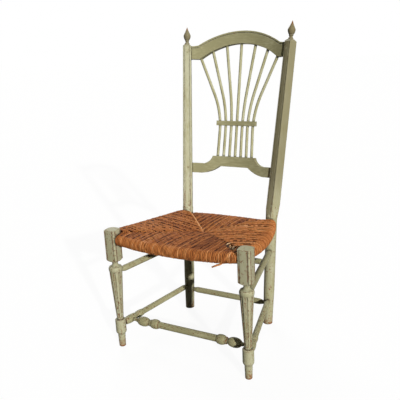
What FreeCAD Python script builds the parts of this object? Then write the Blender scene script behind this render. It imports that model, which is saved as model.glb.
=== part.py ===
import FreeCAD, Part
import math
import os

# A low French country nursing chair: turned front legs, raked rear posts with turned finials,
# a concave wheatsheaf back of bent spindles tied by a band, and a rush seat woven over four rails.
# Lengths are in millimetres. Left and right are as seen from in front of the chair.
# The model is drawn with the front leg axes at y = 0, and centred over its footprint at the end.

Vector = FreeCAD.Vector
UP = Vector(0, 0, 1)
RIGHT = Vector(1, 0, 0)

# Overall stance
front_leg_spacing = 412.0
front_leg_height = 370.0
rear_foot_spacing = 284.0
rear_foot_setback = 303.0
bend_spacing = 294.0
bend_setback = 333.0
bend_height = 345.0
post_top_spacing = 348.0
post_top_setback = 430.0
post_top_height = 858.0

# Fits
joint_clearance = 0.1
rush_clearance = 0.3
cut_overrun = 5.0

# Front leg, turned below a square block
block_width = 36.0
block_corner = 5.0
block_length = 97.0
block_turn_in = 9.0
quirk_inset = 6.4
quirk_radius = 1.4
neck_diameter = 16.5
neck_length = 7.0
bulb_diameter = 40.0
bulb_drop = 22.5
column_top_diameter = 37.5
column_top_height = 243.0
column_base_diameter = 19.3
collar_top_height = 89.0
collar_length = 47.0
collar_diameter = 31.0
collar_round = 4.0
foot_top_diameter = 22.0
foot_diameter = 19.5
foot_round = 1.5
flute_count = 8
flute_top_radius = 3.6
flute_base_radius = 1.8
flute_margin = 9.0
flute_top_margin = 2.5
flute_depth = 2.3
bulb_swell_share = 0.8
bulb_crown_share = 0.42
bulb_crown_swell_share = 0.22
cove_height_share = 0.3
cove_depth_share = 0.65

# Rear post, round below the seat and square above it
rear_leg_diameter = 33.5
rear_foot_diameter = 29.0
knee_swell = 0.4
post_base_width = 30.5
post_top_width = 25.5
post_corner = 4.0
post_turn = 24.0
post_turn_in = 15.0
post_turn_rise = 45.0
shoulder_height = 6.0
shoulder_width = 15.0
finial_height = 54.0
finial_collar_diameter = 15.5
finial_neck_diameter = 10.5
finial_ring_diameter = 14.0
finial_bulb_diameter = 23.0
finial_height_shares = (0.06, 0.13, 0.17, 0.21, 0.25, 0.28, 0.364, 0.49, 0.65, 0.84, 0.97)
finial_swell_shares = (0.70, 0.88, 1.0, 0.72, 0.30, 0.10)
finial_seat_share = 1.15

# Concave back: rails and band lie on upright cylinders
back_radius = 390.0
rail_thickness = 17.0
tenon_thickness = 8.0
tenon_reach = 16.0
tenon_shoulder = 6.0
peg_diameter = 5.0
peg_length = 20.0
peg_place_share = 0.4

# Crest rail
crest_end_height = 40.5
crest_top_rise = 46.5
crest_under_rise = 48.0
crest_top_half = 136.0
crest_sweep_half = 152.0
crest_sweep_lift = 3.0
crest_arch_half = 131.0
crest_dip_share = 0.55
crest_dip_lift_share = 0.30
crest_bead_width = 5.0
crest_groove_width = 2.2
crest_groove_depth = 1.2

# Lower back rail
mid_rail_height = 476.0
mid_rail_end_depth = 31.0
mid_rail_depth = 32.5
mid_rail_rise = 26.0
mid_rail_top_half = 72.0
mid_rail_under_half = 50.0
mid_rail_top_sweep = 40.0
mid_rail_under_sweep = 56.0
mid_rail_sweep_share = 0.30
mid_rail_under_share = 0.50

# Spindles and their band
spindle_diameter = 9.0
spindle_count = 7
spindle_socket = 14.0
spindle_foot_half = 59.0
spindle_band_half = 55.0
spindle_crest_half = 129.5
spindle_spread_share = 0.15
spindle_bend_rise = 34.0
spindle_bend_share = 0.45
band_rise = 106.0
band_depth = 15.0
band_half = 67.0
band_thickness = 13.0

# Stretchers, plain or turned with swellings
stretcher_socket = 12.0
stretcher_end_diameter = 12.0
plain_stretcher_diameter = 18.5
upper_side_stretcher_height = 239.0
upper_rear_stretcher_height = 197.0
lower_rear_stretcher_height = 65.0
lower_side_stretcher_front_height = 70.5
lower_side_stretcher_rear_height = 79.0
side_stretcher_diameter = 17.5
side_swelling_diameter = 24.5
side_swelling_length = 45.0
side_swelling_end_diameter = 18.5
side_swelling_setback = 40.0
side_bead_diameter = 22.0
side_bead_length = 29.0
front_stretcher_diameter = 19.5
front_stretcher_end_diameter = 9.0
front_stretcher_socket = 7.0
front_neck_diameter = 12.4
front_swelling_diameter = 28.6
front_swelling_length = 40.0
front_swelling_inset = 43.0
front_waist_diameter = 16.0
front_waist_length = 4.0
front_ring_diameter = 20.6
front_ring_length = 5.0
front_bead_diameter = 28.6
front_bead_end_diameter = 22.0
front_bead_length = 25.0
swelling_flank_share = 0.82
taper_share = 2.2

# Seat rails and rush
seat_rail_diameter = 22.5
seat_rail_end_diameter = 13.5
seat_rail_tenon_diameter = 12.0
seat_rail_end_gap = 3.0
front_rail_drop = 29.0
side_rail_front_drop = 18.0
side_rail_rear_drop = 16.0
rear_rail_drop = 29.0
front_rail_bow = 20.0
side_rail_bow = 15.0
rear_rail_bow = 8.0
front_rail_sag = 4.0
side_rail_sag = 8.0
rear_rail_sag = 1.0
rush_layer = 4.0
rush_centre_drop = 8.0
rush_centre_thickness = 26.0
rush_crown = 4.0
seat_station_shares = (-1.0, -0.93, -0.82, -0.62, -0.32, 0.0, 0.32, 0.62, 0.82, 0.93, 1.0)
seat_rail_root_share = 0.85


def halves(count):
    """Evenly spaced shares from -1 to 1."""
    return [2.0 * i / (count - 1) - 1.0 for i in range(count)]


def mirrored(shape):
    """The same piece for the other side of the chair."""
    return shape.mirror(Vector(0, 0, 0), RIGHT)


def lerp(a, b, share):
    return a + (b - a) * share


def wire_of(edges):
    return Part.Wire(edges)


def line(a, b):
    return Part.LineSegment(a, b).toShape()


def arc(a, through, b):
    return Part.Arc(a, through, b).toShape()


def turned(stations):
    """A solid turned about z. A station is (height, radius, sharp): the stretch between two sharp
    stations is a smooth curve through those that lie between them, or a straight line."""
    edges = []
    run = []
    for height, radius, sharp in stations:
        run.append(Vector(radius, 0, height))
        if sharp and len(run) > 1:
            if len(run) == 2:
                edges.append(line(run[0], run[1]))
            else:
                curve = Part.BSplineCurve()
                curve.interpolate(run)
                edges.append(curve.toShape())
            run = [run[-1]]
    first = edges[0].Vertexes[0].Point
    last = edges[-1].Vertexes[-1].Point
    foot = Vector(0, 0, first.z)
    head = Vector(0, 0, last.z)
    if last.x > 0:
        edges.append(line(last, head))
    edges.append(line(head, foot))
    if first.x > 0:
        edges.append(line(foot, first))
    face = Part.Face(wire_of(edges))
    return face.revolve(Vector(0, 0, 0), UP, 360)


def along(shape, start, end):
    """Moves a shape drawn up the z axis onto the line from start to end."""
    moved = shape.copy()
    moved.Placement = FreeCAD.Placement(start, FreeCAD.Rotation(UP, end - start))
    return moved


def rod(start, end, radius):
    return Part.makeCylinder(radius, (end - start).Length, start, end - start)


def towards(start, end, distance):
    """The point that far from start on the way to end."""
    way = end - start
    way.normalize()
    return start + way * distance


# Axes of the legs and posts, right-hand side

front_leg_x = front_leg_spacing / 2
front_rail_height = front_leg_height - front_rail_drop
side_rail_front_height = front_leg_height - side_rail_front_drop
side_rail_rear_height = bend_height - side_rail_rear_drop
rear_rail_height = bend_height - rear_rail_drop
rush_centre_height = front_rail_height - rush_centre_drop
rear_foot = Vector(rear_foot_spacing / 2, rear_foot_setback, 0)
post_bend = Vector(bend_spacing / 2, bend_setback, bend_height)
post_top = Vector(post_top_spacing / 2, post_top_setback, post_top_height)


def front_leg_point(height):
    return Vector(front_leg_x, 0, height)


def rear_leg_point(height):
    return lerp(rear_foot, post_bend, height / bend_height)


# The frame of the back: u across, v backward and w up the lean of the posts

back_lean = math.atan2(post_top_setback - bend_setback, post_top_height - bend_height)
back_height = math.hypot(post_top_setback - bend_setback, post_top_height - bend_height)
back_origin = Vector(0, bend_setback, bend_height)
back_placement = FreeCAD.Placement(back_origin, FreeCAD.Rotation(RIGHT, -math.degrees(back_lean)))


def up_back(height):
    """Distance up the lean to a height above the floor."""
    return (height - bend_height) / math.cos(back_lean)


def post_u(w):
    return lerp(bend_spacing, post_top_spacing, w / back_height) / 2


def back_v(u, w):
    """How far the concave back lies behind the posts' plane."""
    return math.sqrt(back_radius ** 2 - u ** 2) - math.sqrt(back_radius ** 2 - post_u(w) ** 2)


def in_back(shape):
    moved = shape.copy()
    moved.Placement = back_placement.multiply(moved.Placement)
    return moved


crest_w = up_back(post_top_height)
mid_rail_w = up_back(mid_rail_height)
mid_rail_top_w = mid_rail_w + mid_rail_end_depth / 2 + mid_rail_rise
band_w = mid_rail_top_w + band_rise


def curved_slab(w, low, high, front, rear):
    """A slice of the upright cylinder that a back rail at w follows, in the back's frame.
    Front and rear are the distances of its faces behind the rail's middle line."""
    centre = Vector(0, -math.sqrt(back_radius ** 2 - post_u(w) ** 2), low)
    outer = Part.makeCylinder(back_radius + rear, high - low, centre)
    inner = Part.makeCylinder(back_radius + front, high - low, centre)
    front_half = Part.makeBox(
        4 * back_radius, back_radius, high - low, Vector(-2 * back_radius, -back_radius / 2, low)
    )
    return outer.cut(inner).common(front_half)


def back_prism(edges):
    """An outline in u and w carried right through the back."""
    face = Part.Face(wire_of(edges))
    face.translate(Vector(0, -back_radius / 2, 0))
    return face.extrude(Vector(0, back_radius, 0))


def uw(u, w):
    return Vector(u, 0, w)


# Front leg

block_bottom_height = front_leg_height - block_length


def square_prism(width, corner, low, high):
    """An upright square bar with rounded corners, centred on the z axis."""
    bar = Part.makeBox(width, width, high - low, Vector(-width / 2, -width / 2, low))
    uprights = [e for e in bar.Edges if abs(e.tangentAt(e.FirstParameter).z) > 0.5]
    return bar.makeFillet(corner, uprights)


def block_quirks():
    """Fine grooves beside the corners of the block's four faces."""
    cutters = []
    for turn in range(4):
        for side in (-1, 1):
            groove = Part.makeCylinder(
                quirk_radius,
                block_length + 2 * cut_overrun,
                Vector(side * (block_width / 2 - quirk_inset), -block_width / 2, block_bottom_height),
            )
            groove.rotate(Vector(0, 0, 0), UP, 90 * turn)
            cutters.append(groove)
    return cutters


def front_leg_blank():
    half_foot = foot_diameter / 2
    collar_base_height = collar_top_height - collar_length
    collar_radius = collar_diameter / 2
    neck_radius = neck_diameter / 2
    bulb_radius = bulb_diameter / 2
    bulb_height = block_bottom_height - bulb_drop
    neck_base_height = block_bottom_height - neck_length
    foot_shoulder_radius = foot_top_diameter / 2
    bulb_flank_radius = lerp(column_top_diameter / 2, bulb_radius, bulb_swell_share)
    bulb_crown_height = lerp(bulb_height, neck_base_height, bulb_crown_share)
    bulb_crown_radius = lerp(bulb_radius, neck_radius, bulb_crown_swell_share)
    cove_height = lerp(bulb_crown_height, neck_base_height, cove_height_share)
    cove_radius = lerp(bulb_crown_radius, neck_radius, cove_depth_share)
    turning = turned(
        [
            (0, half_foot - foot_round, True),
            (foot_round, half_foot, True),
            (collar_base_height, foot_shoulder_radius, True),
            (collar_base_height, collar_radius - collar_round, True),
            (collar_base_height + collar_round, collar_radius - collar_round / 4, False),
            (collar_base_height + 3 * collar_round, collar_radius, True),
            (collar_top_height - collar_round / 2, collar_radius, True),
            (collar_top_height, collar_radius - collar_round / 2, True),
            (collar_top_height, column_base_diameter / 2, True),
            (column_top_height, column_top_diameter / 2, True),
            ((column_top_height + bulb_height) / 2, bulb_flank_radius, False),
            (bulb_height, bulb_radius, False),
            (bulb_crown_height, bulb_crown_radius, True),
            (cove_height, cove_radius, False),
            (neck_base_height, neck_radius, True),
            (block_bottom_height + block_turn_in, neck_radius, True),
        ]
    )
    block = square_prism(block_width, block_corner, block_bottom_height, front_leg_height)
    for quirk in block_quirks():
        block = block.cut(quirk)
    corner_radius = block_width / math.sqrt(2)
    turned_end = turned(
        [
            (block_bottom_height, neck_radius, True),
            (block_bottom_height + block_turn_in / 3, block_width / 2, False),
            (block_bottom_height + block_turn_in, corner_radius, True),
            (front_leg_height - block_corner / 2, corner_radius, True),
            (front_leg_height, corner_radius - block_corner * 2, True),
        ]
    )
    return turning.fuse(block.common(turned_end)).removeSplitter()


def column_radius(height):
    share = (height - collar_top_height) / (column_top_height - collar_top_height)
    return lerp(column_base_diameter, column_top_diameter, share) / 2


def fluted(leg):
    """Cuts the round-ended flutes of the tapered column."""
    low = collar_top_height + flute_margin
    high = column_top_height - flute_top_margin
    start = Vector(column_radius(low) + flute_base_radius - flute_depth / 2, 0, low)
    end = Vector(column_radius(high) + flute_top_radius - flute_depth, 0, high)
    gouge = Part.makeCone(flute_base_radius, flute_top_radius, (end - start).Length, start, end - start)
    gouge = gouge.fuse(Part.makeSphere(flute_top_radius, end))
    gouge = gouge.fuse(Part.makeSphere(flute_base_radius, start))
    for i in range(flute_count):
        cutter = gouge.copy()
        cutter.rotate(Vector(0, 0, 0), UP, 360.0 * (i + 0.5) / flute_count)
        leg = leg.cut(cutter)
    return leg


def front_leg():
    leg = fluted(front_leg_blank())
    leg.translate(front_leg_point(0))
    return leg


# Rear post

def post_section(width, w):
    """The post's outline across its grain: rounded front corners with a quirk beside each."""
    half = width / 2
    corner = post_corner * width / post_base_width
    inset = quirk_inset * width / post_base_width
    quirk = quirk_radius
    bulge = corner * (1 - math.sqrt(0.5))

    def p(x, y):
        return Vector(x, y, w)

    edges = [
        line(p(half, -half + corner), p(half, half)),
        line(p(half, half), p(-half, half)),
        line(p(-half, half), p(-half, -half + corner)),
        arc(p(-half, -half + corner), p(-half + bulge, -half + bulge), p(-half + corner, -half)),
        line(p(-half + corner, -half), p(-half + inset - quirk, -half)),
        line(p(-half + inset - quirk, -half), p(-half + inset, -half + quirk)),
        line(p(-half + inset, -half + quirk), p(-half + inset + quirk, -half)),
        line(p(-half + inset + quirk, -half), p(half - inset - quirk, -half)),
        line(p(half - inset - quirk, -half), p(half - inset, -half + quirk)),
        line(p(half - inset, -half + quirk), p(half - inset + quirk, -half)),
        line(p(half - inset + quirk, -half), p(half - corner, -half)),
        arc(p(half - corner, -half), p(half - bulge, -half + bulge), p(half, -half + corner)),
    ]
    return wire_of(edges)


def square_outline(width, w):
    half = width / 2
    corners = [Vector(x * half, y * half, w) for x, y in ((1, 1), (-1, 1), (-1, -1), (1, -1))]
    return Part.makePolygon(corners + corners[:1])


def finial():
    """Turned acorn on its collar, drawn up from the post's shoulder."""
    collar = finial_collar_diameter / 2
    neck = finial_neck_diameter / 2
    ring = finial_ring_diameter / 2
    bulb = finial_bulb_diameter / 2
    heights = [finial_height * share for share in finial_height_shares]
    stations = [
        (-shoulder_height / 2, collar, True),
        (heights[0], collar, True),
        (heights[1], neck, False),
        (heights[2], neck, True),
        (heights[3], ring, False),
        (heights[4], neck * finial_seat_share, True),
    ]
    for height, share in zip(heights[5:], finial_swell_shares):
        stations.append((height, bulb * share, height == heights[-1]))
    stations.append((finial_height, 0, True))
    return turned(stations)


def rear_post_blank():
    """Round leg, square post turned to face the sitter, and the finial, all of one piece."""
    leg_radius = rear_leg_diameter / 2
    toe_radius = rear_foot_diameter / 2
    leg_length = (post_bend - rear_foot).Length
    leg = turned(
        [
            (-cut_overrun, toe_radius, True),
            (foot_round, toe_radius, True),
            (leg_length / 3, leg_radius, True),
            (leg_length, leg_radius, True),
        ]
    )
    leg = along(leg, rear_foot, post_bend)
    floor = Part.makeBox(
        2 * rear_leg_diameter,
        2 * rear_leg_diameter,
        2 * cut_overrun,
        rear_foot - Vector(rear_leg_diameter, rear_leg_diameter, 2 * cut_overrun),
    )
    leg = leg.cut(floor)
    length = (post_top - post_bend).Length
    shaft_sections = [post_section(post_base_width, -post_turn_in), post_section(post_top_width, length)]
    shaft = Part.makeLoft(shaft_sections, True, True)
    corner_radius = post_base_width / math.sqrt(2)
    turned_end = turned(
        [
            (-post_turn_in, leg_radius, True),
            (post_turn_rise, corner_radius, True),
            (length + cut_overrun, corner_radius, True),
        ]
    )
    shaft = shaft.common(turned_end)
    shoulder = Part.makeLoft(
        [square_outline(post_top_width, length), square_outline(shoulder_width, length + shoulder_height)],
        True,
        True,
    )
    acorn = finial()
    acorn.translate(Vector(0, 0, length + shoulder_height))
    shaft = shaft.fuse(shoulder).fuse(acorn)
    shaft.rotate(Vector(0, 0, 0), UP, -post_turn)
    knee = Part.makeSphere(leg_radius + knee_swell, post_bend)
    return leg.fuse(knee).fuse(along_post(shaft)).removeSplitter()


def along_post(shape):
    """Stands a shape drawn up z on the sloping post, without twisting it about its own length."""
    outward = math.degrees(math.atan2((post_top - post_bend).x, back_height))
    moved = shape.copy()
    moved.rotate(Vector(0, 0, 0), Vector(0, 1, 0), outward)
    moved.rotate(Vector(0, 0, 0), RIGHT, -math.degrees(back_lean))
    moved.translate(post_bend)
    return moved


# Back rails

def crest_top_edges(drop, side):
    """The crest's top edge lowered by drop, from the left when side is 1 and from the right when it is -1."""
    end_u = post_u(crest_w)
    top = crest_w - drop
    dip = lerp(crest_top_half, crest_sweep_half, crest_dip_share)
    lift = top + crest_sweep_lift
    dip_lift = top + crest_sweep_lift * crest_dip_lift_share

    def p(u, w):
        return uw(side * u, w)

    return [
        line(p(-end_u, top), p(-crest_sweep_half, top)),
        arc(p(-crest_sweep_half, top), p(-dip, dip_lift), p(-crest_top_half, lift)),
        arc(p(-crest_top_half, lift), p(0, top + crest_top_rise), p(crest_top_half, lift)),
        arc(p(crest_top_half, lift), p(dip, dip_lift), p(crest_sweep_half, top)),
        line(p(crest_sweep_half, top), p(end_u, top)),
    ]


def crest_outline():
    end_u = post_u(crest_w)
    top = crest_w
    under = crest_w - crest_end_height
    edges = crest_top_edges(0, 1)
    edges.append(line(uw(end_u, top), uw(end_u, under)))
    edges.append(line(uw(end_u, under), uw(crest_arch_half, under)))
    arch_top = uw(0, under + crest_under_rise)
    edges.append(arc(uw(crest_arch_half, under), arch_top, uw(-crest_arch_half, under)))
    edges.append(line(uw(-crest_arch_half, under), uw(-end_u, under)))
    edges.append(line(uw(-end_u, under), uw(-end_u, top)))
    return edges


def crest_groove():
    """The groove that leaves a bead along the crest's top edge, cut into its front face."""
    end_u = post_u(crest_w)
    upper = crest_bead_width
    lower = crest_bead_width + crest_groove_width
    edges = crest_top_edges(upper, 1)
    edges.append(line(uw(end_u, crest_w - upper), uw(end_u, crest_w - lower)))
    edges += crest_top_edges(lower, -1)
    edges.append(line(uw(-end_u, crest_w - lower), uw(-end_u, crest_w - upper)))
    face = -rail_thickness / 2
    skin = curved_slab(
        crest_w,
        crest_w - crest_end_height,
        crest_w + crest_top_rise,
        face - cut_overrun,
        face + crest_groove_depth,
    )
    return in_back(back_prism(edges).common(skin))


def mid_rail_outline():
    end_u = post_u(mid_rail_w)
    end_top = mid_rail_w + mid_rail_end_depth / 2
    end_under = mid_rail_w - mid_rail_end_depth / 2
    top = mid_rail_top_w
    under = top - mid_rail_depth
    top_foot = mid_rail_top_half + mid_rail_top_sweep
    under_foot = mid_rail_under_half + mid_rail_under_sweep
    top_mid_u = lerp(mid_rail_top_half, top_foot, mid_rail_sweep_share)
    top_mid_w = lerp(end_top, top, mid_rail_sweep_share)
    under_mid_u = lerp(mid_rail_under_half, under_foot, mid_rail_under_share)
    under_mid_w = lerp(end_under, under, mid_rail_sweep_share)
    edges = [line(uw(end_u, end_under), uw(end_u, end_top)), line(uw(end_u, end_top), uw(top_foot, end_top))]
    edges.append(arc(uw(top_foot, end_top), uw(top_mid_u, top_mid_w), uw(mid_rail_top_half, top)))
    edges.append(line(uw(mid_rail_top_half, top), uw(-mid_rail_top_half, top)))
    edges.append(arc(uw(-mid_rail_top_half, top), uw(-top_mid_u, top_mid_w), uw(-top_foot, end_top)))
    edges.append(line(uw(-top_foot, end_top), uw(-end_u, end_top)))
    edges.append(line(uw(-end_u, end_top), uw(-end_u, end_under)))
    edges.append(line(uw(-end_u, end_under), uw(-under_foot, end_under)))
    left_under = uw(-mid_rail_under_half, under)
    edges.append(arc(uw(-under_foot, end_under), uw(-under_mid_u, under_mid_w), left_under))
    right_under = uw(mid_rail_under_half, under)
    edges.append(line(left_under, right_under))
    edges.append(arc(right_under, uw(under_mid_u, under_mid_w), uw(under_foot, end_under)))
    edges.append(line(uw(under_foot, end_under), uw(end_u, end_under)))
    return edges


def rail_tenons(w, low, high, extra):
    """Both tenons of a back rail, or their mortises when extra is the clearance."""
    thickness = tenon_thickness + 2 * extra
    slab_low = low + tenon_shoulder - extra
    slab_high = high - tenon_shoulder + extra
    slab = curved_slab(w, slab_low, slab_high, -thickness / 2, thickness / 2)
    inner = post_u(w) - post_base_width / 2 - cut_overrun
    outer = post_u(w) - post_base_width / 2 + tenon_reach + extra
    tenons = []
    for side in (-1, 1):
        keep = Part.makeBox(
            outer - inner,
            2 * back_radius,
            high - low,
            Vector(inner if side > 0 else -outer, -back_radius, low),
        )
        tenons.append(slab.common(keep))
    return tenons


def back_rail(outline, w, low, high, top, post):
    """A curved rail trimmed to the posts, with a tenon at each end."""
    slab = curved_slab(w, low, top, -rail_thickness / 2, rail_thickness / 2)
    body = back_prism(outline).common(slab)
    body = in_back(body).cut(post).cut(mirrored(post))
    body = max(body.Solids, key=lambda solid: solid.Volume)
    for tenon in rail_tenons(w, low, high, 0):
        body = body.fuse(in_back(tenon))
    return body.removeSplitter()


def peg_axis(w):
    """Start and end of the peg that locks a tenon in the right-hand post, driven from the front."""
    width = lerp(post_base_width, post_top_width, w / back_height)
    inset = post_u(w) - width / 2 + tenon_reach * peg_place_share
    turn = math.radians(post_turn)
    way = Vector(math.sin(turn), math.cos(turn), 0)
    face_slant = (width / 2 - tenon_reach * peg_place_share) * math.tan(turn)
    start = Vector(inset, face_slant - width / 2 / math.cos(turn), w)
    return start, start + way * peg_length


def peg(w, extra, reach_out):
    start, end = peg_axis(w)
    start = towards(start, end, -reach_out)
    return in_back(rod(start, end, peg_diameter / 2 + extra))


# Spindles

spindle_shares = halves(spindle_count)


def crest_underside(u):
    """Height up the back of the crest's arch above u."""
    half = crest_arch_half
    rise = crest_under_rise
    radius = (half ** 2 + rise ** 2) / (2 * rise)
    return crest_w - crest_end_height + rise - radius + math.sqrt(radius ** 2 - u ** 2)


def spindle_route(share):
    """Foot, bend and head of one spindle's centre line in the back's frame."""
    foot_u = spindle_foot_half * share
    band_u = spindle_band_half * share
    head_u = spindle_crest_half * share * (1 + spindle_spread_share * (1 - share ** 2))
    head_w = crest_underside(head_u)
    bend_w = band_w + spindle_bend_rise
    foot = Vector(foot_u, back_v(foot_u, mid_rail_w), mid_rail_top_w)
    bend = Vector(band_u, back_v(band_u, band_w), bend_w)
    head = Vector(head_u, back_v(head_u, crest_w), head_w)
    return foot, bend, head


def spindle(share, radius):
    """A round spindle, straight through the band and bent outward above it."""
    foot, bend, head = spindle_route(share)
    start = towards(foot, bend, -spindle_socket)
    finish = towards(head, bend, -spindle_socket)
    if abs(share) < 1.0 / spindle_count:
        return in_back(rod(start, bend, radius).fuse(rod(bend, finish, radius)).removeSplitter())
    reach = (foot - bend).Length * spindle_bend_share
    a = towards(bend, foot, reach)
    b = towards(bend, head, reach)
    way_a = (a - bend).normalize()
    way_b = (b - bend).normalize()
    bisector = (way_a + way_b).normalize()
    half_turn = (math.pi - way_a.getAngle(way_b)) / 2
    bend_radius = reach / math.tan(half_turn)
    through = bend + bisector * (bend_radius / math.cos(half_turn) - bend_radius)
    path = wire_of([line(start, a), arc(a, through, b), line(b, finish)])
    circle = wire_of([Part.Circle(start, a - start, radius).toShape()])
    return in_back(path.makePipeShell([circle], True, True))


def band():
    """The flat tie that the spindles pass through."""
    low = band_w - band_depth / 2
    high = band_w + band_depth / 2
    outline = [
        line(uw(-band_half, low), uw(band_half, low)),
        line(uw(band_half, low), uw(band_half, high)),
        line(uw(band_half, high), uw(-band_half, high)),
        line(uw(-band_half, high), uw(-band_half, low)),
    ]
    slab = curved_slab(band_w, low, high, -band_thickness / 2, band_thickness / 2)
    return in_back(back_prism(outline).common(slab))


# Stretchers

def plain_stretcher(start, end, socket):
    """A rod that narrows to its tenons, from a little inside one leg to a little inside the other."""
    tip = stretcher_end_diameter / 2
    belly = plain_stretcher_diameter / 2
    first = towards(start, end, socket[0])
    last = towards(end, start, socket[1])
    length = (last - first).Length
    taper = taper_share * stretcher_socket
    shape = turned(
        [
            (0, tip, True),
            (stretcher_socket, tip, True),
            (taper, belly, True),
            (length - taper, belly, True),
            (length - stretcher_socket, tip, True),
            (length, tip, True),
        ]
    )
    return along(shape, first, last)


def swelling(low, high, low_radius, high_radius, full_radius):
    """Stations of one turned swelling between two heights of a stretcher."""
    middle = (low + high) / 2
    return [
        (low, low_radius, True),
        ((low + middle) / 2, lerp(low_radius, full_radius, swelling_flank_share), False),
        (middle, full_radius, False),
        ((middle + high) / 2, lerp(high_radius, full_radius, swelling_flank_share), False),
        (high, high_radius, True),
    ]


def lower_side_stretcher(start, end, socket):
    """Turned with a swelling that takes the front stretcher, then a bead and a plain tail."""
    first = towards(start, end, socket[0])
    last = towards(end, start, socket[1])
    length = (last - first).Length
    tip = stretcher_end_diameter / 2
    tail = side_stretcher_diameter / 2
    edge = side_swelling_end_diameter / 2
    centre = side_swelling_setback - socket[0]
    low = centre - side_swelling_length / 2
    high = centre + side_swelling_length / 2
    bead_high = high + side_bead_length
    stations = [(0, tip, True), (stretcher_socket + joint_clearance, tip, True)]
    stations += swelling(low, high, edge, edge, side_swelling_diameter / 2)
    stations += swelling(high, bead_high, edge, edge, side_bead_diameter / 2)[1:]
    stations.append((bead_high, tail, True))
    stations.append((length - taper_share * stretcher_socket, tail, True))
    stations.append((length - stretcher_socket, tip, True))
    stations.append((length, tip, True))
    return along(turned(stations), first, last)


def front_stretcher(start, end):
    """Turned with a swelling, a ring and a bead at each end, tenoned into the side stretchers."""
    length = (end - start).Length
    tip = front_stretcher_end_diameter / 2
    belly = front_stretcher_diameter / 2
    neck = front_neck_diameter / 2
    waist = front_waist_diameter / 2
    ring = front_ring_diameter / 2
    edge = front_bead_end_diameter / 2
    swell_low = front_swelling_inset - front_swelling_length / 2
    swell_high = front_swelling_inset + front_swelling_length / 2
    ring_low = swell_high + front_waist_length
    ring_high = ring_low + front_ring_length
    bead_high = ring_high + front_bead_length
    half = [(0, tip, True), (2 * front_stretcher_socket, tip, True)]
    half += swelling(swell_low, swell_high, neck, waist, front_swelling_diameter / 2)
    half += [(ring_low, waist, True), (ring_low, ring, True), (ring_high, ring, True)]
    half += swelling(ring_high, bead_high, edge, edge, front_bead_diameter / 2)
    half.append((bead_high, belly, True))
    other = [(length - z, r, sharp) for z, r, sharp in reversed(half)]
    return along(turned(half + other), start, end)


# Seat rails and rush panels share one drawing frame: the rail runs along x, outward is -y

class SeatRail:
    """One seat rail from start to end, with outward to its right-hand side when seen from start.
    It bows outward, sags a little in the middle and thins towards both ends."""

    def __init__(self, start, end, bow, sag):
        self.start = start
        self.end = end
        self.bow = bow
        self.sag = sag
        self.length = (end - start).Length
        self.middle = (start + end) / 2

    def place(self, shape):
        way = self.end - self.start
        turn = math.degrees(math.atan2(way.y, way.x))
        tilt = math.degrees(math.atan2(way.z, math.hypot(way.x, way.y)))
        moved = shape.copy()
        moved.rotate(Vector(0, 0, 0), Vector(0, 1, 0), -tilt)
        moved.rotate(Vector(0, 0, 0), UP, turn)
        moved.translate(self.middle)
        return moved

    def centre(self, share):
        """A point of the middle line, share from -1 at the start to 1 at the end."""
        swell = 1 - share ** 2
        return Vector(self.length / 2 * share, -self.bow * swell, -self.sag * swell)

    def radius(self, share):
        fullness = 1 - share ** 6
        return lerp(seat_rail_end_diameter, seat_rail_diameter, fullness) / 2

    def bar(self, extra):
        """The rail from leg axis to leg axis, that much fatter all round."""
        rings = []
        for share in seat_station_shares:
            ring = Part.Circle(self.centre(share), RIGHT, self.radius(share) + extra)
            rings.append(wire_of([ring.toShape()]))
        return self.place(Part.makeLoft(rings, True, True))

    def tenons(self, extra):
        """The round tenons, which run into both legs, or their mortises when extra is the clearance."""
        ends = []
        for side in (-1, 1):
            root = self.centre(side * seat_rail_root_share)
            tip = towards(self.centre(side), root, seat_rail_end_gap - extra)
            ends.append(self.place(rod(tip, root, seat_rail_tenon_diameter / 2 + extra)))
        return ends

    def rail(self, posts):
        """The full rail trimmed to the posts' faces, with its tenons."""
        body = self.bar(0)
        for post in posts:
            body = body.cut(post)
        body = max(body.Solids, key=lambda solid: solid.Volume)
        for tenon in self.tenons(0):
            body = body.fuse(tenon)
        return body.removeSplitter()

    def panel_section(self, share, reach, rise, depth):
        """The rush folded over the rail: crowned top, roll and underside, filled in to the seat's middle.
        The inner end lies rise above and depth below the rail's ends."""
        outer = self.radius(share) + rush_clearance + rush_layer
        rail = self.centre(share)
        slant = outer * math.sqrt(0.5)

        def p(y, z):
            return Vector(rail.x, rail.y + y, rail.z + z)

        over = p(0, outer)
        below = p(0, -outer)
        inner_top = Vector(rail.x, reach, rise)
        inner_under = Vector(rail.x, reach, -depth)
        crown = (over + inner_top) / 2 + UP * rush_crown
        edges = [
            arc(inner_top, crown, over),
            arc(over, p(-slant, slant), p(-outer, 0)),
            arc(p(-outer, 0), p(-slant, -slant), below),
            line(below, inner_under),
            line(inner_under, inner_top),
        ]
        return wire_of(edges)

    def panel(self, centre):
        """The rush folded over this rail, reaching in to the middle of the seat."""
        way = (self.end - self.start).normalize()
        inward = Vector(-way.y, way.x, 0).normalize()
        up = way.cross(inward)
        reach = (centre - self.middle).dot(inward)
        rise = (centre - self.middle).dot(up)
        depth = rush_centre_thickness * up.z - rise
        sections = [self.panel_section(share, reach, rise, depth) for share in seat_station_shares]
        folded = self.place(Part.makeLoft(sections, True, True))
        corner_a = Vector(self.start.x, self.start.y, 0)
        corner_b = Vector(self.end.x, self.end.y, 0)
        middle = Vector(centre.x, centre.y, 0)
        far_a = lerp(middle, corner_a, 2)
        far_b = lerp(middle, corner_b, 2)
        wedge = Part.Face(Part.makePolygon([middle, far_a, far_b, middle]))
        return folded.common(wedge.extrude(UP * 2 * front_leg_height))


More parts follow.
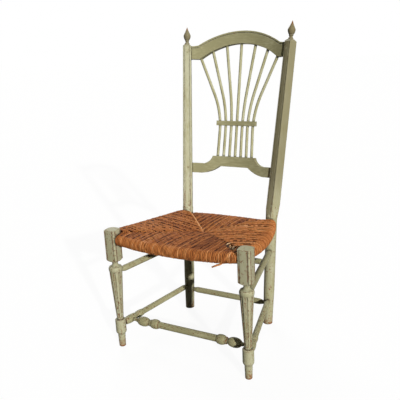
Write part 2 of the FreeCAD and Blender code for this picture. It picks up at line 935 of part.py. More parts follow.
def seat_rails():
    def mirror_point(p):
        return Vector(-p.x, p.y, p.z)

    front_right = front_leg_point(front_rail_height)
    side_front = front_leg_point(side_rail_front_height)
    side_rear = rear_leg_point(side_rail_rear_height)
    rear_right = rear_leg_point(rear_rail_height)
    return {
        "front": SeatRail(mirror_point(front_right), front_right, front_rail_bow, front_rail_sag),
        "right": SeatRail(side_front, side_rear, side_rail_bow, side_rail_sag),
        "rear": SeatRail(rear_right, mirror_point(rear_right), rear_rail_bow, rear_rail_sag),
        "left": SeatRail(mirror_point(side_rear), mirror_point(side_front), side_rail_bow, side_rail_sag),
    }


def build():
    """Every piece of the chair by name."""
    leg_right = front_leg()
    post_right = rear_post_blank()
    leg_blank = leg_right
    post_blank = post_right
    pieces = {}

    # Back rails, their mortises and pegs
    crest_low = crest_w - crest_end_height
    crest_top = crest_w + crest_top_rise + cut_overrun
    mid_low = mid_rail_w - mid_rail_end_depth / 2
    mid_high = mid_rail_w + mid_rail_end_depth / 2
    mid_top = mid_rail_top_w + cut_overrun
    crest = back_rail(crest_outline(), crest_w, crest_low, crest_w, crest_top, post_blank)
    mid_rail = back_rail(mid_rail_outline(), mid_rail_w, mid_low, mid_high, mid_top, post_blank)
    for w, low, high in ((crest_w, crest_low, crest_w), (mid_rail_w, mid_low, mid_high)):
        for mortise in rail_tenons(w, low, high, joint_clearance):
            post_right = post_right.cut(in_back(mortise))
        hole = peg((low + high) / 2, joint_clearance / 2, cut_overrun)
        post_right = post_right.cut(hole)
        crest = crest.cut(hole).cut(mirrored(hole))
        mid_rail = mid_rail.cut(hole).cut(mirrored(hole))
    crest_peg = peg((crest_low + crest_w) / 2, 0, 0)
    mid_peg = peg((mid_low + mid_high) / 2, 0, 0)
    pieces["crest_rail_pegs"] = Part.makeCompound([crest_peg, mirrored(crest_peg)])
    pieces["lower_back_rail_pegs"] = Part.makeCompound([mid_peg, mirrored(mid_peg)])

    # Spindles and band
    tie = band()
    for number, share in enumerate(spindle_shares, 1):
        socket = spindle(share, spindle_diameter / 2 + joint_clearance)
        crest = crest.cut(socket)
        mid_rail = mid_rail.cut(socket)
        tie = tie.cut(socket)
        pieces["spindle_%d" % number] = spindle(share, spindle_diameter / 2)
    pieces["crest_rail"] = crest.cut(crest_groove())
    pieces["lower_back_rail"] = mid_rail
    pieces["spindle_band"] = tie

    # Stretchers and their sockets
    leg_socket = collar_diameter / 2 - stretcher_socket
    post_socket = rear_leg_diameter / 2 - stretcher_socket
    side_start = front_leg_point(lower_side_stretcher_front_height)
    side_end = rear_leg_point(lower_side_stretcher_rear_height)
    lower_side = lower_side_stretcher(side_start, side_end, (leg_socket, post_socket))
    upper_start = front_leg_point(upper_side_stretcher_height)
    upper_end = rear_leg_point(upper_side_stretcher_height)
    bulb_socket = bulb_diameter / 2 - stretcher_socket
    upper_side = plain_stretcher(upper_start, upper_end, (bulb_socket, post_socket))
    rear_stretchers = {}
    for name, height in (("upper", upper_rear_stretcher_height), ("lower", lower_rear_stretcher_height)):
        right = rear_leg_point(height)
        rear_stretchers[name] = plain_stretcher(
            Vector(-right.x, right.y, right.z), right, (post_socket, post_socket)
        )
    cross_axis = towards(side_start, side_end, side_swelling_setback)
    cross_end = cross_axis - RIGHT * (side_swelling_diameter / 2 - front_stretcher_socket)
    cross = front_stretcher(Vector(-cross_end.x, cross_end.y, cross_end.z), cross_end)

    tenon_radius = stretcher_end_diameter / 2 + joint_clearance
    tenon_end = stretcher_socket + 2 * cut_overrun
    for start, end, socket in (
        (side_start, side_end, leg_socket),
        (upper_start, upper_end, bulb_socket),
    ):
        front_tip = towards(start, end, socket - joint_clearance)
        rear_tip = towards(end, start, post_socket - joint_clearance)
        leg_right = leg_right.cut(rod(front_tip, towards(front_tip, end, tenon_end), tenon_radius))
        post_right = post_right.cut(rod(rear_tip, towards(rear_tip, start, tenon_end), tenon_radius))
    for height in (upper_rear_stretcher_height, lower_rear_stretcher_height):
        axis = rear_leg_point(height)
        tip = axis - RIGHT * (post_socket - joint_clearance)
        post_right = post_right.cut(rod(tip, tip - RIGHT * tenon_end, tenon_radius))
    cross_tip = cross_end + RIGHT * joint_clearance
    cross_radius = front_stretcher_end_diameter / 2 + joint_clearance
    cross_hole = rod(cross_tip - RIGHT * tenon_end, cross_tip, cross_radius)
    lower_side = lower_side.cut(cross_hole)

    # Seat rails and rush
    rails = seat_rails()
    posts = [leg_blank, mirrored(leg_blank), post_blank, mirrored(post_blank)]
    for name, rail in rails.items():
        pieces["seat_rail_" + name] = rail.rail(posts)
        for mortise in rail.tenons(joint_clearance):
            leg_right = leg_right.cut(mortise)
            post_right = post_right.cut(mortise)
    seat_centre = Vector(0, rear_leg_point(rear_rail_height).y / 2, rush_centre_height)
    keep_clear = [front_leg_keep(), mirrored(front_leg_keep()), rear_leg_keep(), mirrored(rear_leg_keep())]
    panels = [rail.panel(seat_centre) for rail in rails.values()]
    rush = panels[0].multiFuse(panels[1:])
    for keep in keep_clear:
        rush = rush.cut(keep)
    for rail in rails.values():
        rush = rush.cut(rail.bar(rush_clearance))
    pieces["rush_seat"] = max(rush.Solids, key=lambda solid: solid.Volume)

    pieces["front_leg_right"] = leg_right
    pieces["front_leg_left"] = mirrored(leg_right)
    pieces["rear_post_right"] = post_right
    pieces["rear_post_left"] = mirrored(post_right)
    pieces["front_stretcher"] = cross
    pieces["lower_side_stretcher_right"] = lower_side
    pieces["lower_side_stretcher_left"] = mirrored(lower_side)
    pieces["upper_side_stretcher_right"] = upper_side
    pieces["upper_side_stretcher_left"] = mirrored(upper_side)
    pieces["upper_rear_stretcher"] = rear_stretchers["upper"]
    pieces["lower_rear_stretcher"] = rear_stretchers["lower"]
    return pieces


def front_leg_keep():
    """The front leg's block with room for the rush beside it."""
    keep = square_prism(block_width + 2 * rush_clearance, block_corner, 0, 2 * front_leg_height)
    keep.translate(front_leg_point(0))
    return keep


def rear_leg_keep():
    """The rear post near the seat with room for the rush beside it."""
    reach = rear_leg_diameter
    low = rear_leg_point(rear_rail_height - 2 * reach)
    leg = rod(low, post_bend, rear_leg_diameter / 2 + rush_clearance)
    knee = Part.makeSphere(rear_leg_diameter / 2 + knee_swell + rush_clearance, post_bend)
    half = post_base_width / 2 + rush_clearance
    shaft = Part.makeBox(2 * half, 2 * half, 3 * reach, Vector(-half, -half, -post_turn_in))
    shaft.rotate(Vector(0, 0, 0), UP, -post_turn)
    return leg.fuse(knee).fuse(along_post(shaft))


def write(pieces):
    """Centres the chair over its own footprint and writes one file per piece."""
    os.makedirs("parts", exist_ok=True)
    whole = Part.makeCompound(list(pieces.values())).optimalBoundingBox()
    shift = Vector(0, -(whole.YMin + whole.YMax) / 2, 0)
    for name, shape in pieces.items():
        shape.translate(shift)
        shape.exportStep("parts/%s.step" % name)
    print("pieces", len(pieces), "front leg axis at y", round(shift.y, 3))


write(build())
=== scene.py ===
import math
import random

import bpy
from mathutils import Matrix, Vector


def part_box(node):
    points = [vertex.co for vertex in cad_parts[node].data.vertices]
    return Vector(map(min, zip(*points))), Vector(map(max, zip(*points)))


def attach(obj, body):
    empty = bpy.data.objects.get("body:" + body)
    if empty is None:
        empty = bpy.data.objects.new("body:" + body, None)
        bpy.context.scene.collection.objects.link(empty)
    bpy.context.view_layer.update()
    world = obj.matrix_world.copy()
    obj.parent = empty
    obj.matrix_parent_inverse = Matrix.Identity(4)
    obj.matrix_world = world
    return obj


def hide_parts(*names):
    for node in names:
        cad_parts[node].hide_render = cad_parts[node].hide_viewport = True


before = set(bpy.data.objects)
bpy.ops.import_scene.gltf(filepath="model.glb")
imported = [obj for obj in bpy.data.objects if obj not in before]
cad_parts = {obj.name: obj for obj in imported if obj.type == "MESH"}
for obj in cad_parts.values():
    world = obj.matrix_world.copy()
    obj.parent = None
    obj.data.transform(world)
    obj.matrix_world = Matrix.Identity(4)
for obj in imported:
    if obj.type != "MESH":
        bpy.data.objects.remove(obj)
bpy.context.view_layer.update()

draw = random.Random(7)

# Lengths are in metres. Places on the seat are given from the front leg axes.

LEG_LOW, LEG_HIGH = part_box("front_leg_right")
LEG_Y = (LEG_LOW[1] + LEG_HIGH[1]) / 2


def seat_point(x, y, z):
    """A point given from the front leg axes, in the chair's frame."""
    return Vector((x, y + LEG_Y, z))


# Camera, fitted to the legs, posts and rails of the photograph

CAMERA_PLACE = seat_point(0.7215, -1.1593, 0.8551)
CAMERA_YAW = math.radians(28.84)
CAMERA_PITCH = math.radians(15.74)
CAMERA_ROLL = math.radians(-2.72)
CAMERA_FOCAL_PIXELS = 543.3
PHOTO_PIXELS = 400
SENSOR_MM = 36.0


def add_camera():
    """The photograph's camera, from its place, yaw, pitch, roll and focal length."""
    forward = Vector(
        (
            -math.sin(CAMERA_YAW) * math.cos(CAMERA_PITCH),
            math.cos(CAMERA_YAW) * math.cos(CAMERA_PITCH),
            -math.sin(CAMERA_PITCH),
        )
    )
    level = Vector((math.cos(CAMERA_YAW), math.sin(CAMERA_YAW), 0))
    above = level.cross(forward)
    right = level * math.cos(CAMERA_ROLL) + above * math.sin(CAMERA_ROLL)
    up = above * math.cos(CAMERA_ROLL) - level * math.sin(CAMERA_ROLL)
    data = bpy.data.cameras.new("camera")
    data.sensor_width = SENSOR_MM
    data.lens = CAMERA_FOCAL_PIXELS / PHOTO_PIXELS * SENSOR_MM
    data.dof.use_dof = False
    camera = bpy.data.objects.new("camera", data)
    axes = Matrix((right, up, -forward)).transposed().to_4x4()
    camera.matrix_world = Matrix.Translation(CAMERA_PLACE) @ axes
    bpy.context.scene.collection.objects.link(camera)
    bpy.context.scene.camera = camera


# Node helpers


class Shader:
    """A small builder for one procedural material."""

    def __init__(self, name):
        self.material = bpy.data.materials.new(name)
        self.material.use_nodes = True
        self.tree = self.material.node_tree
        self.surface = self.tree.nodes["Principled BSDF"]

    def add(self, kind, **settings):
        node = self.tree.nodes.new(kind)
        for key, value in settings.items():
            setattr(node, key, value)
        return node

    def link(self, source, target):
        self.tree.links.new(source, target)

    def feed(self, socket, value):
        """Links a socket to an output, or sets its value."""
        if isinstance(value, bpy.types.NodeSocket):
            self.link(value, socket)
        else:
            socket.default_value = value

    def coordinates(self, stretch):
        place = self.add("ShaderNodeTexCoord")
        mapping = self.add("ShaderNodeMapping")
        self.link(place.outputs["Object"], mapping.inputs["Vector"])
        mapping.inputs["Scale"].default_value = stretch
        return mapping.outputs["Vector"]

    def noise(self, vector, scale, detail=3.0, roughness=0.55):
        node = self.add("ShaderNodeTexNoise")
        self.link(vector, node.inputs["Vector"])
        node.inputs["Scale"].default_value = scale
        node.inputs["Detail"].default_value = detail
        node.inputs["Roughness"].default_value = roughness
        return node.outputs["Fac"]

    def math(self, operation, a, b=0.0):
        node = self.add("ShaderNodeMath", operation=operation)
        self.feed(node.inputs[0], a)
        self.feed(node.inputs[1], b)
        return node.outputs["Value"]

    def span(self, value, low, high, out_low=0.0, out_high=1.0):
        """Maps a value from one range to another, held at the ends."""
        node = self.add("ShaderNodeMapRange")
        self.feed(node.inputs["Value"], value)
        node.inputs["From Min"].default_value = low
        node.inputs["From Max"].default_value = high
        node.inputs["To Min"].default_value = out_low
        node.inputs["To Max"].default_value = out_high
        return node.outputs["Result"]

    def mix(self, factor, a, b, blend="MIX"):
        node = self.add("ShaderNodeMix", data_type="RGBA", blend_type=blend)
        self.feed(node.inputs["Factor"], factor)
        self.feed(node.inputs["A"], rgba(a))
        self.feed(node.inputs["B"], rgba(b))
        return node.outputs["Result"]

    def ramp(self, value, stops):
        node = self.add("ShaderNodeValToRGB")
        self.feed(node.inputs["Fac"], value)
        elements = node.color_ramp.elements
        while len(elements) < len(stops):
            elements.new(0.5)
        for element, (place, colour) in zip(elements, stops):
            element.position = place
            element.color = rgba(colour)
        return node.outputs["Color"]

    def bump(self, height, strength, distance, normal=None):
        node = self.add("ShaderNodeBump")
        self.feed(node.inputs["Height"], height)
        node.inputs["Strength"].default_value = strength
        node.inputs["Distance"].default_value = distance
        if normal is not None:
            self.link(normal, node.inputs["Normal"])
        return node.outputs["Normal"]


def rgba(colour):
    if isinstance(colour, bpy.types.NodeSocket):
        return colour
    return tuple(colour) + (1.0,) if len(colour) == 3 else tuple(colour)


# Paint

PAINT_LIGHT = (0.430, 0.424, 0.292)
PAINT_MID = (0.345, 0.330, 0.192)
PAINT_DARK = (0.255, 0.240, 0.130)
PAINT_RUBBED = (0.490, 0.478, 0.335)
CHIP = (0.150, 0.042, 0.016)
# Near black, for dirt and painted shade in the paint's hollows
GRIME_AND_SHADE = (0.022, 0.018, 0.010)
GLAZE_AND_SHADE = (0.190, 0.165, 0.088)
FINIAL_BROWN = (0.130, 0.098, 0.048)
BARE_TIP = (0.300, 0.115, 0.036)
PAINT_STOPS = [(0.32, PAINT_DARK), (0.5, PAINT_MID), (0.68, PAINT_LIGHT)]
PAINT_SPECULAR = 0.08
STREAK_SHARE = 0.55
CLOUD_SHARE = 0.45
STREAK_RELIEF = 0.8
CHIP_RELIEF = 0.6
EDGE_RADIUS = 0.0022
EDGE_SAMPLES = 6
CAVITY_REACH = 0.008
CAVITY_SAMPLES = 8
HEAD_WEAR_RISE = 0.010

# Noise in the paint: scale, detail and, where it isn't the usual one, roughness
STREAK_NOISE = (260, 4)
CLOUD_NOISE = (14, 3)
SPECK_NOISE = (380, 2, 0.6)
EDGE_CHIP_NOISE = (85, 5, 0.72)
FACE_CHIP_NOISE = (170, 4, 0.7)

# Spans of the paint's masks: from low, from high and, where they aren't 0 and 1, to low and to high
SPECK_SPAN = (0.55, 0.75, 0.0, 0.40)
CAVITY_SPAN = (0.50, 0.95, 1.0, 0.0)
DIRT_AND_SHADE_SPAN = (0.3, 0.6, 0.80, 1.0)
RUBBED_EDGE_SPAN = (0.02, 0.12)
RUBBED_STREAK_SPAN = (0.35, 0.6, 0.1, 0.7)
CHIP_EDGE_SPAN = (0.02, 0.06)
CHIP_PATCH_SPAN = (0.53, 0.56)
CHIP_FACE_SPAN = (0.685, 0.70)
BARE_END_SPAN = (0.40, 0.56)
PAINT_ROUGHNESS_SPAN = (0.3, 0.7, 0.42, 0.62)

# The same for masks on the height above the floor
LOW_DARKENING_SPAN = (0.42, 0.25, 0.0, 0.30)
FINIAL_SPAN = (0.858, 0.868, 0.0, 0.55)
WORN_SPAN = (0.46, 0.36, -0.06, 0.085)


def edge_mask(shader, radius):
    """A mask that is bright along edges, and the normal rounded over them.
    The mask grows where the rounded normal leaves the true one."""
    bevel = shader.add("ShaderNodeBevel", samples=EDGE_SAMPLES)
    bevel.inputs["Radius"].default_value = radius
    geometry = shader.add("ShaderNodeNewGeometry")
    dot = shader.add("ShaderNodeVectorMath", operation="DOT_PRODUCT")
    shader.link(bevel.outputs["Normal"], dot.inputs[0])
    shader.link(geometry.outputs["True Normal"], dot.inputs[1])
    return shader.math("SUBTRACT", 1.0, dot.outputs["Value"]), bevel.outputs["Normal"]


def paint(name, stretch, low_wear, high_wear, lightness, glaze_and_shade=None):
    """Worn sage paint. Stretch is the noise scale along x, y and z, so it is small along the grain.
    Wear to bare wood grows below low_wear and above high_wear, heights in metres. Glaze and shade, where
    given, is the two heights between which the paint goes browner, and by how much: a brown glaze, and on
    the right post painted shade with some grime. Paint given it is browner still at the height of the
    finials."""
    shader = Shader(name)
    place = shader.coordinates((1, 1, 1))
    grain = shader.coordinates(stretch)
    streak = shader.noise(grain, *STREAK_NOISE)
    cloud = shader.noise(place, *CLOUD_NOISE)
    speck = shader.noise(place, *SPECK_NOISE)
    tone = shader.math("MULTIPLY", streak, STREAK_SHARE)
    tone = shader.math("ADD", tone, shader.math("MULTIPLY", cloud, CLOUD_SHARE))
    tone = shader.math("ADD", tone, lightness)
    colour = shader.ramp(tone, PAINT_STOPS)
    colour = shader.mix(shader.span(speck, *SPECK_SPAN), colour, PAINT_DARK)

    axes = shader.add("ShaderNodeSeparateXYZ")
    shader.link(place, axes.inputs["Vector"])
    height = axes.outputs["Z"]
    # The paint is darker towards the bottom, below the seat.
    colour = shader.mix(shader.span(height, *LOW_DARKENING_SPAN), colour, PAINT_DARK)
    # Browner between two heights: a brown glaze, and on the right post painted shade with some grime.
    if glaze_and_shade:
        low, high, amount = glaze_and_shade
        colour = shader.mix(shader.span(height, low, high, 0.0, amount), colour, GLAZE_AND_SHADE)
        colour = shader.mix(shader.span(height, *FINIAL_SPAN), colour, FINIAL_BROWN)

    # Dirt and painted shade: the paint is darkened in grooves and hollows where the ambient occlusion
    # finds them, patchily after the cloud noise.
    occlusion = shader.add("ShaderNodeAmbientOcclusion", samples=CAVITY_SAMPLES)
    occlusion.inputs["Distance"].default_value = CAVITY_REACH
    cavity = shader.span(occlusion.outputs["AO"], *CAVITY_SPAN)
    dirt_and_shade = shader.math("MULTIPLY", cavity, shader.span(cloud, *DIRT_AND_SHADE_SPAN))
    colour = shader.mix(dirt_and_shade, colour, GRIME_AND_SHADE)

    edge, smooth = edge_mask(shader, EDGE_RADIUS)
    rubbed = shader.span(edge, *RUBBED_EDGE_SPAN)
    rubbed = shader.math("MULTIPLY", rubbed, shader.span(streak, *RUBBED_STREAK_SPAN))
    colour = shader.mix(rubbed, colour, PAINT_RUBBED)

    patch = shader.noise(place, *EDGE_CHIP_NOISE)
    worn = shader.span(height, *WORN_SPAN)
    edge_patch = shader.span(shader.math("ADD", patch, worn), *CHIP_PATCH_SPAN)
    edge_chips = shader.math("MULTIPLY", shader.span(edge, *CHIP_EDGE_SPAN), edge_patch)
    face_patch = shader.math("ADD", shader.noise(place, *FACE_CHIP_NOISE), worn)
    face_chips = shader.span(face_patch, *CHIP_FACE_SPAN)
    chips = shader.math("MAXIMUM", edge_chips, face_chips)
    colour = shader.mix(chips, colour, CHIP)

    foot = shader.span(height, low_wear, 0.0)
    head = shader.span(height, high_wear, high_wear + HEAD_WEAR_RISE)
    ends = shader.math("MAXIMUM", foot, head)
    ends = shader.math("MULTIPLY", ends, shader.span(patch, *BARE_END_SPAN))
    colour = shader.mix(ends, colour, shader.mix(streak, CHIP, BARE_TIP))

    surface = shader.surface
    shader.link(colour, surface.inputs["Base Color"])
    shader.link(shader.span(streak, *PAINT_ROUGHNESS_SPAN), surface.inputs["Roughness"])
    surface.inputs["Specular IOR Level"].default_value = PAINT_SPECULAR
    relief = shader.math("MULTIPLY", streak, STREAK_RELIEF)
    relief = shader.math("SUBTRACT", relief, shader.math("MULTIPLY", chips, CHIP_RELIEF))
    shader.link(shader.bump(relief, 0.35, 0.0008, smooth), surface.inputs["Normal"])
    return shader.material


BARE_DARK = (0.22, 0.12, 0.055)
BARE_PALE = (0.42, 0.27, 0.14)


def bare_wood(name):
    """Unpainted wood of the hidden seat rails."""
    shader = Shader(name)
    grain = shader.coordinates((1.0, 1.0, 6.0))
    streak = shader.noise(grain, 60, 5)
    colour = shader.ramp(streak, [(0.35, BARE_DARK), (0.65, BARE_PALE)])
    shader.link(colour, shader.surface.inputs["Base Color"])
    shader.surface.inputs["Roughness"].default_value = 0.6
    shader.link(shader.bump(streak, 0.3, 0.0005), shader.surface.inputs["Normal"])
    return shader.material


# Rush

# The darkest rush, used also for painted shade in hollows and gaps
RUSH_DARK_AND_SHADE = (0.024, 0.007, 0.002)
RUSH_BROWN = (0.190, 0.060, 0.022)
RUSH_ORANGE = (0.385, 0.128, 0.036)
RUSH_GOLD = (0.580, 0.240, 0.078)
RUSH_PALE = (0.760, 0.540, 0.320)
RUSH_STOPS = [
    (0.32, RUSH_DARK_AND_SHADE),
    (0.48, RUSH_BROWN),
    (0.64, RUSH_ORANGE),
    (0.82, RUSH_GOLD),
    (1.0, RUSH_PALE),
]
RUSH_SPECULAR = 0.03
CORE_SHADE = (0.018, 0.008, 0.004)
CORE_SHADE_BROWN = (0.07, 0.026, 0.010)

# How much the strand's own tone, blotches, fibres and the panel's tone count
OWN_SHARE = 0.27
BLOTCH_SHARE = 0.16
FIBRE_SHARE = 0.70
PANEL_SHARE = 0.14

# Stretch of the map round and along a strand, for its fibres and its twist
FIBRE_STRETCH = (1.5, 45.0, 1.0)
TWIST_STRETCH = (2.0, 150.0, 1.0)
TWIST_SCALE = 0.5
TWIST_DISTORTION = 2.5
TWIST_DETAIL = 2.0
DASH_SHIFT = 40.0
DASHES_PER_METRE = 75.0
FIBRE_RELIEF = 0.7
GAP_REACH = 0.005
GAP_SAMPLES = 8

# Spans of the rush's masks: from low, from high, to low, to high
TWIST_SHADE_SPAN = (0.0, 0.35, 0.28, 0.0)
DASH_SHADE_SPAN = (0.47, 0.53, 1.0, 0.0)
GAP_SHADE_SPAN = (0.35, 0.85, 0.9, 0.0)
RUSH_ROUGHNESS_SPAN = (0.3, 0.7, 0.40, 0.6)


def rush(name):
    """Twisted rush. The strand attribute holds a strand's own tone, its panel's tone, partly painted
    light, and how far the strand is a sunken one, which shows as dashes of painted shade between its
    neighbours."""
    shader = Shader(name)
    attribute = shader.add("ShaderNodeAttribute", attribute_name="strand")
    parts = shader.add("ShaderNodeSeparateColor")
    shader.link(attribute.outputs["Color"], parts.inputs["Color"])
    own_tone = parts.outputs["Red"]
    panel_tone = parts.outputs["Green"]
    blotch = shader.noise(shader.coordinates((1, 1, 1)), 40, 2)
    around_along = shader.add("ShaderNodeUVMap", uv_map="strand_uv").outputs["UV"]

    def stretched(scale):
        mapping = shader.add("ShaderNodeMapping")
        shader.link(around_along, mapping.inputs["Vector"])
        mapping.inputs["Scale"].default_value = scale
        return mapping.outputs["Vector"]

    fibre = shader.noise(stretched(FIBRE_STRETCH), 4.0, 4, 0.65)
    wave = shader.add("ShaderNodeTexWave", bands_direction="DIAGONAL")
    wave.inputs["Scale"].default_value = TWIST_SCALE
    wave.inputs["Distortion"].default_value = TWIST_DISTORTION
    wave.inputs["Detail"].default_value = TWIST_DETAIL
    shader.link(stretched(TWIST_STRETCH), wave.inputs["Vector"])
    twist = wave.outputs["Fac"]
    along = shader.add("ShaderNodeSeparateXYZ")
    shader.link(around_along, along.inputs["Vector"])
    own_dash = shader.add("ShaderNodeCombineXYZ")
    shader.link(shader.math("MULTIPLY", own_tone, DASH_SHIFT), own_dash.inputs["X"])
    shader.link(shader.math("MULTIPLY", along.outputs["Y"], DASHES_PER_METRE), own_dash.inputs["Y"])
    dash = shader.noise(own_dash.outputs["Vector"], 1.0, 1, 0.5)

    level = shader.math("MULTIPLY", own_tone, OWN_SHARE)
    level = shader.math("ADD", level, shader.math("MULTIPLY", blotch, BLOTCH_SHARE))
    level = shader.math("ADD", level, shader.math("MULTIPLY", fibre, FIBRE_SHARE))
    level = shader.math("ADD", level, shader.math("MULTIPLY", panel_tone, PANEL_SHARE))
    colour = shader.ramp(level, RUSH_STOPS)
    # Painted shade: the hollows of the twist are darkened.
    colour = shader.mix(shader.span(twist, *TWIST_SHADE_SPAN), colour, RUSH_DARK_AND_SHADE)
    # Painted shade: dark dashes on the sunken strands, for the gaps between groups.
    sunken = shader.math("MULTIPLY", parts.outputs["Blue"], shader.span(dash, *DASH_SHADE_SPAN))
    colour = shader.mix(sunken, colour, RUSH_DARK_AND_SHADE)
    # Painted shade: the rush is darkened in gaps and hollows where the ambient occlusion finds them.
    occlusion = shader.add("ShaderNodeAmbientOcclusion", samples=GAP_SAMPLES)
    occlusion.inputs["Distance"].default_value = GAP_REACH
    colour = shader.mix(shader.span(occlusion.outputs["AO"], *GAP_SHADE_SPAN), colour, RUSH_DARK_AND_SHADE)

    surface = shader.surface
    shader.link(colour, surface.inputs["Base Color"])
    shader.link(shader.span(fibre, *RUSH_ROUGHNESS_SPAN), surface.inputs["Roughness"])
    surface.inputs["Specular IOR Level"].default_value = RUSH_SPECULAR
    relief = shader.math("ADD", twist, shader.math("MULTIPLY", fibre, FIBRE_RELIEF))
    shader.link(shader.bump(relief, 0.7, 0.0009), surface.inputs["Normal"])
    return shader.material


def rush_core_material(name):
    """The inside of the seat, seen only in the gaps between strands, coloured near black as painted
    shade.
    """
    shader = Shader(name)
    mottle = shader.noise(shader.coordinates((1, 1, 1)), 120, 3)
    colour = shader.ramp(mottle, [(0.35, CORE_SHADE), (0.7, CORE_SHADE_BROWN)])
    shader.link(colour, shader.surface.inputs["Base Color"])
    shader.surface.inputs["Roughness"].default_value = 0.9
    return shader.material


# Rush seat

# The roll of rush round a rail, at the rail's ends and middle, and the seat's crown, centre and thickness
ROLL_END = 0.01105
ROLL_MIDDLE = 0.01555
SEAT_CROWN = 0.004
SEAT_CENTRE = (0.0, 0.16524, 0.333)
SEAT_THICKNESS = 0.026

# Strands, and the sunken ones in the gaps between their groups. Across means from side to side, and
# deep means from front to back.
STRAND_RADIUS = 0.0019
STRAND_PITCH = 0.0042
ACROSS_GAP = 0.0052
ACROSS_SUNKEN_RADIUS = 0.0024
DEEP_GAP = 0.0036
DEEP_SUNKEN_RADIUS = 0.0019
DEEP_SUNKEN_DROP = 0.0004

# On the roll, how far sunken strands show, how much lighter the front roll is made as painted light, and
# how far tones differ
ROLL_SUNKEN_SHARE = 0.25
FRONT_ROLL_PAINTED_LIGHT = 0.70
ROLL_TONE_SHARE = 0.8

# Where panels meet, how far and from how near strands rise to the other panel, and how far ends dive
SEAM_LEVEL_SHARE = 0.4
SEAM_LEVEL_REACH = 0.05
SEAM_DIVE = 0.004

# How far the core lies below the surface, and how finely strands and core are divided
CORE_INSET = 0.0040
CORE_STEPS = 24
STRAND_SIDES = 8
ROLL_STEPS = 10
TOP_STEPS = 14
UNDER_STEPS = 5

# How a strand departs from an even one: its sway with its group, and its own height, radius and lumps
GROUP_SIZES = (2, 3, 3, 4)
SWAY_WIDTHS = (0.0004, 0.0009)
SWAY_LENGTHS = (0.03, 0.07)
STRAND_SINK = 0.75
HEIGHT_SPREAD = (-0.0005, 0.0004)
RADIUS_SPREAD = (0.92, 1.1)
LUMP_SHARE = 0.07
LUMP_STEP = 1.7

# Map along strands that run from front to back, and the tone of the strand ends at the left rear seam,
# made pale as a painted highlight on the ridge
DEEP_MAP_STRETCH = 0.35
SEAM_HIGHLIGHT_TONE = (1.2, 0.9, 0.0)


